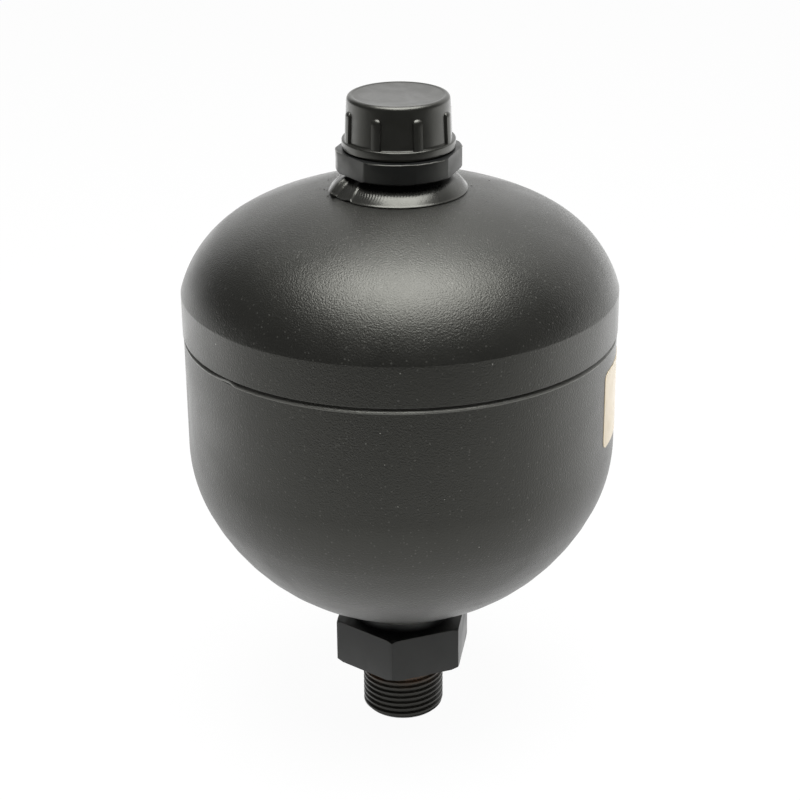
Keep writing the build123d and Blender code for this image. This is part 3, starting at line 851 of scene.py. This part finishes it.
class ACCUMULATOR_OT_fluid_port(PieceOperator):
    """Machines the fluid port: hexagon, neck, bore and the threaded stub"""

    bl_idname = "accumulator.fluid_port"
    bl_label = "Fluid port"

    def execute(self, context):
        foot, top = sizes().port_stub, high("fluid_port")
        hex_top = foot + sizes().port_hex_height
        stub_r, neck_r = 13.5 * MM, 17.0 * MM
        port = hex_prism("fluid_port_body", sizes().port_hex, foot, hex_top - foot)
        self.chamfer(port, foot, hex_top)
        bevel_edges(port, 0.7 * MM)
        undercut_r, corner = 12.7 * MM, 0.5 * MM
        core = [
            (stub_r - 1.3 * MM, 0.0), (stub_r, 1.3 * MM), (stub_r, foot - 3 * MM),
            (undercut_r, foot - 1.7 * MM),
            *arc((undercut_r + corner, foot - corner), corner, 180, 90, 4),
            (undercut_r + corner, foot + 5 * MM), (neck_r, foot + 5 * MM), (neck_r, top),
        ]
        machine_turned(port, core, "UNION")
        bore_r, seat_r, seat_z = 7.0 * MM, 13.2 * MM, top - 3.4 * MM
        bore = [
            (bore_r + 3 * MM, -2 * MM), (bore_r, 1 * MM), (bore_r, seat_z), (seat_r, seat_z),
            (seat_r, top + 2 * MM),
        ]
        machine_turned(port, bore, "DIFFERENCE")
        cut_thread(port, stub_r, sizes().port_pitch, 0.0, foot - 2.2 * MM, fill=0.35)
        smooth(port)
        dress(port, "fitting_paint", "vessel", "fluid_port")
        return {"FINISHED"}

    def chamfer(self, port, foot, hex_top):
        """Turns the hexagon's corners off at both ends."""
        corner_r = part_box("fluid_port")[1].y
        outer_r = corner_r + 1 * MM
        ends = []
        for z, cut, up in ((foot, 1.1 * MM, 1), (hex_top, 0.97 * MM, -1)):
            ends.append([(corner_r - cut, z), (outer_r, z + up * (cut + 1 * MM) * FLANK)])
        machine_turned(port, [*ends[0], *reversed(ends[1])], "INTERSECT")


class ACCUMULATOR_OT_gas_boss(PieceOperator):
    """Machines the gas boss: neck, collar, threaded stub for the cap and the well of the screw"""

    bl_idname = "accumulator.gas_boss"
    bl_label = "Gas boss"

    def execute(self, context):
        bottom, top = low("gas_boss"), high("gas_boss")
        collar_height, collar_hex = sizes().collar_height, sizes().collar_hex
        collar_bottom = COLLAR_TOP_Z - collar_height
        disc_r, corner, edge = 19.55 * MM, 0.4 * MM, 0.1 * MM
        turn = sizes().collar_turn - pi / 6
        boss = hex_prism("gas_boss_body", collar_hex, collar_bottom, collar_height, turn)
        self.widen(boss)
        disc = [
            (disc_r - corner, collar_bottom), (disc_r, collar_bottom + corner),
            (disc_r, COLLAR_TOP_Z - edge), (disc_r - edge, COLLAR_TOP_Z),
        ]
        machine_turned(boss, disc, "INTERSECT")
        bevel_edges(boss, 0.3 * MM)
        neck_r, thread_r, undercut_r = 15.0 * MM, 14.0 * MM, 12.9 * MM
        core = [
            (neck_r, bottom), (neck_r, collar_bottom + 2 * MM),
            (undercut_r, collar_bottom + 2 * MM), (undercut_r, COLLAR_TOP_Z + 1.6 * MM),
            (thread_r, COLLAR_TOP_Z + 2.7 * MM), (thread_r, top - 1 * MM), (thread_r - 1 * MM, top),
        ]
        machine_turned(boss, core, "UNION")
        passage_r, screw_r, well_r = 2.5 * MM, 7.0 * MM, 10.2 * MM
        screw_z, well_z = low("charging_screw") - 3.5 * MM, top - 7 * MM
        bore = [
            (passage_r, bottom - 1 * MM), (passage_r, screw_z), (screw_r, screw_z),
            (screw_r, well_z), (well_r, well_z), (well_r, top - 0.3 * MM),
            (well_r + 1.3 * MM, top + 1 * MM),
        ]
        machine_turned(boss, bore, "DIFFERENCE")
        cut_thread(boss, thread_r, sizes().cap_pitch, CAP_THREAD_Z, top)
        smooth(boss)
        dress(boss, "fitting_paint", "vessel", "gas_boss", coat="boss_paint")
        self.burr(disc_r)
        return {"FINISHED"}

    def widen(self, boss):
        """Draws the front and back flats out, so they only graze the collar's round."""
        way = Vector((sin(sizes().collar_turn), -cos(sizes().collar_turn), 0))
        edit(boss)
        for side in (way, -way):
            pick(boss, lambda co: co.dot(side) > 0.95 * sizes().collar_hex / 2, "faces")
            bpy.ops.transform.translate(value=side * FACE_PUSH)
        leave()

    def burr(self, disc_r):
        """A thin wavy burr on the collar's top edge: a ring drawn in to follow the flats, in a pale coat
        that paints the edge's highlight.
        """
        thick_r = 0.21 * MM
        section = [
            (disc_r + thick_r * cos(t), COLLAR_TOP_Z - 0.26 * MM + thick_r * sin(t))
            for t in (tau * i / 8 for i in range(8))
        ]
        ring = turned("gas_boss_burr", section, steps=720)
        for vert in ring.data.vertices:
            turn = direction(vert.co) - sizes().collar_turn
            side = round(turn / (pi / 3))
            flat = sizes().collar_hex / 2 + (FACE_PUSH if side % 3 == 0 else 0)
            edge = min(disc_r, flat / cos(turn - side * pi / 3)) - 0.13 * MM
            wave = noise.noise(vert.co * 130) + 0.5 * noise.noise(vert.co * 420)
            vert.co.xy *= 1 + (edge - disc_r + 0.1 * MM * wave) / hypot(vert.co.x, vert.co.y)
            vert.co.z += 0.22 * MM * wave
        smooth(ring, 60)
        # The burr wears the pale coat, which paints a thin highlight along the collar's top edge.
        dress(ring, "fitting_paint", "vessel", coat="seam_paint")


class ACCUMULATOR_OT_cap(PieceOperator):
    """Moulds the cap: tapered body, flange, grip ribs, dished top and internal thread"""

    bl_idname = "accumulator.cap"
    bl_label = "Cap"

    def execute(self, context):
        base, top = low("protective_cap") - 0.45 * MM, high("protective_cap")
        flange_r, flange_z = reach("protective_cap"), base + 3.1 * MM
        foot_r, head_r, round_r = flange_r - 1.15 * MM, 15.9 * MM, 1.35 * MM
        bore_r, ceiling = 14.25 * MM, top - 1.8 * MM
        under_r, over_r = 0.7 * MM, 0.55 * MM
        dish_r = head_r - round_r
        tiny = 0.05 * MM
        outline = [
            (bore_r, base), (flange_r - under_r, base),
            *arc((flange_r - under_r, base + under_r), under_r, -75, 0, 6),
            *arc((flange_r - over_r, flange_z - over_r), over_r, 0, 90, 6),
            (foot_r + 0.25 * MM, flange_z), (foot_r, flange_z + 0.25 * MM),
            (foot_r - 0.05 * MM, flange_z + 0.6 * MM),
            (head_r + 0.05 * MM, top - round_r - 0.4 * MM),
            *arc((dish_r, top - round_r), round_r, 3, 78, 10),
            (dish_r - 0.25 * MM, top - 0.01 * MM), (dish_r - 0.4 * MM, top - 0.12 * MM),
            (dish_r - 0.8 * MM, top - 0.16 * MM), (5 * MM, top - 0.26 * MM),
            (10 * tiny, top - 0.27 * MM), (tiny, top - 0.27 * MM), (tiny, ceiling),
            (13.3 * MM, ceiling), (bore_r, ceiling - 0.9 * MM),
        ]
        cap = turned("cap_moulding", outline, steps=192)
        edit(cap)
        pick(cap, lambda co: hypot(co.x, co.y) < 2 * tiny)
        bpy.ops.mesh.remove_doubles(threshold=2.4 * tiny)
        leave()
        for count in range(sizes().rib_count):
            turn = sizes().rib_turn + tau * count / sizes().rib_count
            machine(cap, self.rib(turn, foot_r, flange_z, top - 3.7 * MM), "UNION")
        ridge = self.thread(bore_r + 0.2 * MM, 13.3 * MM, 0.25 * MM)
        smooth(cap, 40)
        smooth(ridge, 20)
        dress(cap, "cap_plastic", "cap", "protective_cap")
        dress(ridge, "cap_plastic", "cap")
        return {"FINISHED"}

    def rib(self, turn, foot_r, bottom, top):
        """A grip rib: a ball drawn down to the flange, squared a little across."""
        half = 1.68 * MM
        middle = top - half
        deselect_all()
        bpy.ops.mesh.primitive_uv_sphere_add(
            segments=32, ring_count=16, radius=half, location=(0, 0, middle)
        )
        rib = settle(bpy.context.object, "rib")
        edit(rib)
        pick(rib, lambda co: co.z < middle - 0.1 * MM)
        bpy.ops.mesh.delete(type="VERT")
        pick(rib, lambda co: co.z < middle + 0.01 * MM)
        for depth in (1.2 * MM, middle - bottom - 0.3 * MM):
            bpy.ops.mesh.extrude_edges_indiv()
            bpy.ops.transform.translate(value=(0, 0, -depth))
        pick_rims()
        bpy.ops.mesh.fill_holes(sides=0)
        leave()
        for vert in rib.data.vertices:
            across = max(abs(vert.co.x), abs(vert.co.y), 1e-9)
            square = (hypot(vert.co.x, vert.co.y) / across) ** 0.55
            lean = (top - vert.co.z) / (top - bottom) * 0.4 * MM
            vert.co.x = vert.co.x * square + foot_r - 1.2 * MM + lean
            vert.co.y *= square
        take(rib)
        rib.rotation_euler = (0, 0, turn - pi / 2)
        return settle(rib, "rib")

    def thread(self, outer_r, inner_r, tip):
        """The ridge inside the cap, in the groove of the boss's thread."""
        pitch = sizes().cap_pitch
        root = tip + 2 * (outer_r - inner_r) * FLANK
        return helix("cap_thread", outer_r, inner_r, root, tip, CAP_THREAD_Z + 0.75 * pitch, pitch, 6)


class ACCUMULATOR_OT_charging_screw(PieceOperator):
    """Finishes the charging screw and the seals round it"""

    bl_idname = "accumulator.charging_screw"
    bl_label = "Charging screw"

    def execute(self, context):
        paint("zinc_steel", "charging_screw")
        paint("nitrile_rubber", "charging_screw_seal", "cap_seal")
        return {"FINISHED"}


class ACCUMULATOR_OT_diaphragm(PieceOperator):
    """Moulds the diaphragm in its resting shape; the real one rolls inside out as its button rises"""

    bl_idname = "accumulator.diaphragm"
    bl_label = "Diaphragm"

    def execute(self, context):
        thick, inset = 2.2 * MM, 5.8 * MM
        bore_r, bead_r, hub_r = 61.05 * MM, 2.7 * MM, 17.2 * MM
        bead_z = high("diaphragm") - bead_r
        hub_z = low("diaphragm")
        hub_top = hub_z + 4 * MM
        wall_r, knuckle_r, bottom_r = (r - inset for r in (BOWL_R, KNUCKLE_R, BOTTOM_R))
        flat = degrees(acos(sqrt(bottom_r**2 - (BOTTOM[1] - hub_z) ** 2) / bottom_r))
        hub_end = degrees(acos(hub_r / (bottom_r - thick)))
        skirt_top = SEAM_Z - 10.3 * MM
        skirt_foot = skirt_top - 7 * MM
        outline = [
            (4.2 * MM, hub_top), (4.2 * MM, hub_z), *arc(BOTTOM, bottom_r, -flat, -SWING, 24),
            *arc(KNUCKLE, knuckle_r, -SWING, 0, 16)[1:], (wall_r, skirt_foot),
            *ease((wall_r, skirt_foot), (bore_r, skirt_top)),
            *arc((bore_r - bead_r, bead_z), bead_r, -20, 235, 18), (bore_r - thick, skirt_top),
            *ease((bore_r - thick, skirt_top), (wall_r - thick, skirt_foot)),
            *arc(KNUCKLE, knuckle_r - thick, 0, -SWING, 16)[1:],
            *arc(BOTTOM, bottom_r - thick, -SWING, -hub_end, 18)[1:], (15 * MM, hub_top),
        ]
        cup = turned("diaphragm_cup", outline, steps=128)
        smooth(cup, 50)
        dress(cup, "nitrile_rubber", None, "diaphragm")
        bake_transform(cup)
        return {"FINISHED"}


class ACCUMULATOR_OT_inner_rings(PieceOperator):
    """Finishes the rings that clamp the diaphragm and the button that it carries"""

    bl_idname = "accumulator.inner_rings"
    bl_label = "Rings and button"

    def execute(self, context):
        paint("bare_steel", "support_ring", "clamp_ring", "closing_button")
        paint("zinc_steel", "button_washer")
        return {"FINISHED"}


class ACCUMULATOR_OT_label(PieceOperator):
    """Finishes the bare label"""

    bl_idname = "accumulator.label"
    bl_label = "Label"

    def execute(self, context):
        paint("label_foil", "data_label")
        return {"FINISHED"}


class ACCUMULATOR_OT_spatter(PieceOperator):
    """Scatters weld spatter on the shells beside the two fillet beads"""

    bl_idname = "accumulator.spatter"
    bl_label = "Weld spatter"

    def execute(self, context):
        self.scatter("upper_shell", 1, 22.2 * MM, 34 * MM, 5.0)
        self.scatter("lower_shell", -1, 23 * MM, 36 * MM, 17.0)
        return {"FINISHED"}

    def scatter(self, node, side, inner, outer, seed):
        """Drops from an inner to an outer radius on the upper side, 1, or the lower side, -1."""
        shell = bpy.data.objects[node + "_pressing"]
        drops = []
        for count in range(sizes().spatter_count):
            turn, share, size = (noise.cell(Vector((count, seed, z))) for z in (0.5, 7.5, 13.5))
            radius = inner + (outer - inner) * share**2
            start = (radius * sin(tau * turn), -radius * cos(tau * turn), SEAM_Z + side * 0.2)
            hit, point, normal, _ = shell.ray_cast(start, (0, 0, -side))
            if not hit:
                raise RuntimeError(f"no surface under a drop of spatter on {shell.name}")
            deselect_all()
            bpy.ops.mesh.primitive_ico_sphere_add(
                subdivisions=2, radius=(0.10 + 0.2 * size**3) * MM, location=point,
                rotation=normal.to_track_quat("Z", "Y").to_euler(), scale=(1, 1, 0.7),
            )
            drops.append(settle(bpy.context.object, f"drop_{count}"))
        deselect_all()
        for drop in drops:
            drop.select_set(True)
        bpy.context.view_layer.objects.active = drops[0]
        bpy.ops.object.join()
        spatter = drops[0]
        spatter.name = spatter.data.name = node + "_spatter"
        smooth(spatter, 60)
        dress(spatter, "weld_paint", "vessel")


class ACCUMULATOR_OT_stage(PieceOperator):
    """Sets the floor, lamps, surroundings and camera"""

    bl_idname = "accumulator.stage"
    bl_label = "Stage"

    def execute(self, context):
        stage = context.scene.accumulator_stage
        context.scene.view_settings.view_transform = "Standard"
        self.floor(stage)
        self.world(context, stage)
        self.key(stage)
        self.camera(context, stage)
        return {"FINISHED"}

    def floor(self, stage):
        """A white table. It ends in front of the object, so the front reflects the dim room."""
        span = 6.0
        deselect_all()
        bpy.ops.mesh.primitive_plane_add(size=span, location=(0, 0, -0.02 * MM))
        floor = bpy.context.object
        edit(floor)
        pick(floor, lambda co: co.y < 0)
        bpy.ops.transform.translate(value=(0, span / 2 - stage.table_front, 0))
        leave()
        floor.rotation_euler = (0, 0, stage.azimuth)
        settle(floor, "floor")
        material, tree, shader = new_material("floor_white", (0.86, 0.86, 0.86), 0.9, specular=0.1)
        path = tree.nodes.new("ShaderNodeLightPath")
        seen, mirrored = path.outputs["Is Camera Ray"], path.outputs["Is Glossy Ray"]
        ahead = along(tree, object_point(tree), stage.side_turn)
        far = ramp(tree, ahead, -0.03, 0.12, stage.table_sides, stage.table_far)
        radius = radius_and_height(tree)[0]
        level = ramp(tree, radius, 0.1, 0.4, stage.table_near, far, "LINEAR")
        glow = math(tree, "ADD", seen, math(tree, "MULTIPLY", level, mirrored))
        white = add_node(tree, "ShaderNodeEmission", {"Strength": glow})
        share = math(tree, "MULTIPLY", math(tree, "ADD", seen, mirrored), stage.table_glow)
        ends = {0: share, 1: shader.outputs[0], 2: white.outputs[0]}
        mix = add_node(tree, "ShaderNodeMixShader", ends)
        tree.links.new(mix.outputs[0], tree.nodes["Material Output"].inputs["Surface"])
        floor.data.materials.append(material)

    def world(self, context, stage):
        """White for the camera. The object is lit by a pale backdrop and a darker foreground."""
        world = bpy.data.worlds.new("studio")
        context.scene.world = world
        world.use_nodes = True
        tree = world.node_tree
        way = tree.nodes.new("ShaderNodeTexCoord").outputs["Generated"]
        facing = along(tree, way, stage.backdrop_turn)
        lit = tree.nodes["Background"]
        lit.inputs["Color"].default_value = (1, 1, 1, 1)
        level = ramp(tree, facing, 0.35, 0.8, stage.foreground, stage.backdrop)
        tree.links.new(level, lit.inputs["Strength"])
        white = add_node(tree, "ShaderNodeBackground", {"Color": (1, 1, 1, 1), "Strength": 1.0})
        seen = tree.nodes.new("ShaderNodeLightPath").outputs["Is Camera Ray"]
        ends = {0: seen, 1: lit.outputs[0], 2: white.outputs[0]}
        mix = add_node(tree, "ShaderNodeMixShader", ends)
        tree.links.new(mix.outputs[0], tree.nodes["World Output"].inputs["Surface"])

    def key(self, stage):
        deselect_all()
        bpy.ops.object.light_add(type="AREA", location=(0.06, -0.13, SEAM_Z + stage.key_height))
        key = bpy.context.object
        key.name = "key"
        key.data.shape = "DISK"
        key.data.size = stage.key_size
        key.data.energy = stage.key_power

    def camera(self, context, stage):
        deselect_all()
        away = Vector((sin(stage.azimuth), -cos(stage.azimuth), 0))
        place = stage.stand_off * away + Vector((0, 0, SEAM_Z + stage.height))
        bpy.ops.object.camera_add(location=place)
        camera = bpy.context.object
        turn = (
            Matrix.Rotation(stage.azimuth + stage.pan, 4, "Z")
            @ Matrix.Rotation(pi / 2 - stage.pitch, 4, "X")
            @ Matrix.Rotation(stage.roll, 4, "Z")
        )
        camera.matrix_world = Matrix.Translation(place) @ turn
        camera.data.lens = stage.lens
        camera.data.sensor_width = 36.0
        camera.data.clip_start = 0.01
        context.scene.camera = camera


class ACCUMULATOR_PT_panel(Panel):
    """Lists the operators in the order in which they are run"""

    bl_idname = "ACCUMULATOR_PT_panel"
    bl_label = "Accumulator"
    bl_space_type = "VIEW_3D"
    bl_region_type = "UI"
    bl_category = "Accumulator"

    def draw(self, context):
        scene = context.scene
        for group in ("accumulator_sizes", "accumulator_finish", "accumulator_stage"):
            box = self.layout.box()
            settings = getattr(scene, group)
            for name in settings.__annotations__:
                box.prop(settings, name)
        for operator in OPERATORS:
            self.layout.operator(operator.bl_idname)


OPERATORS = PieceOperator.__subclasses__()      # in the order in which they stand above
GROUPS = {
    "accumulator_sizes": AccumulatorSizes,
    "accumulator_finish": AccumulatorFinish,
    "accumulator_stage": AccumulatorStage,
}


def register():
    for name, group in GROUPS.items():
        bpy.utils.register_class(group)
        setattr(bpy.types.Scene, name, PointerProperty(type=group))
    for item in (*OPERATORS, ACCUMULATOR_PT_panel):
        bpy.utils.register_class(item)


def unregister():
    for item in reversed((*OPERATORS, ACCUMULATOR_PT_panel)):
        bpy.utils.unregister_class(item)
    for name, group in GROUPS.items():
        delattr(bpy.types.Scene, name)
        bpy.utils.unregister_class(group)


def main():
    register()
    deselect_all()
    for operator in OPERATORS:
        category, name = operator.bl_idname.split(".")
        result = getattr(getattr(bpy.ops, category), name)()
        if result != {"FINISHED"}:
            raise RuntimeError(f"{operator.bl_idname} ended with {result}")


if __name__ == "__main__":
    main()
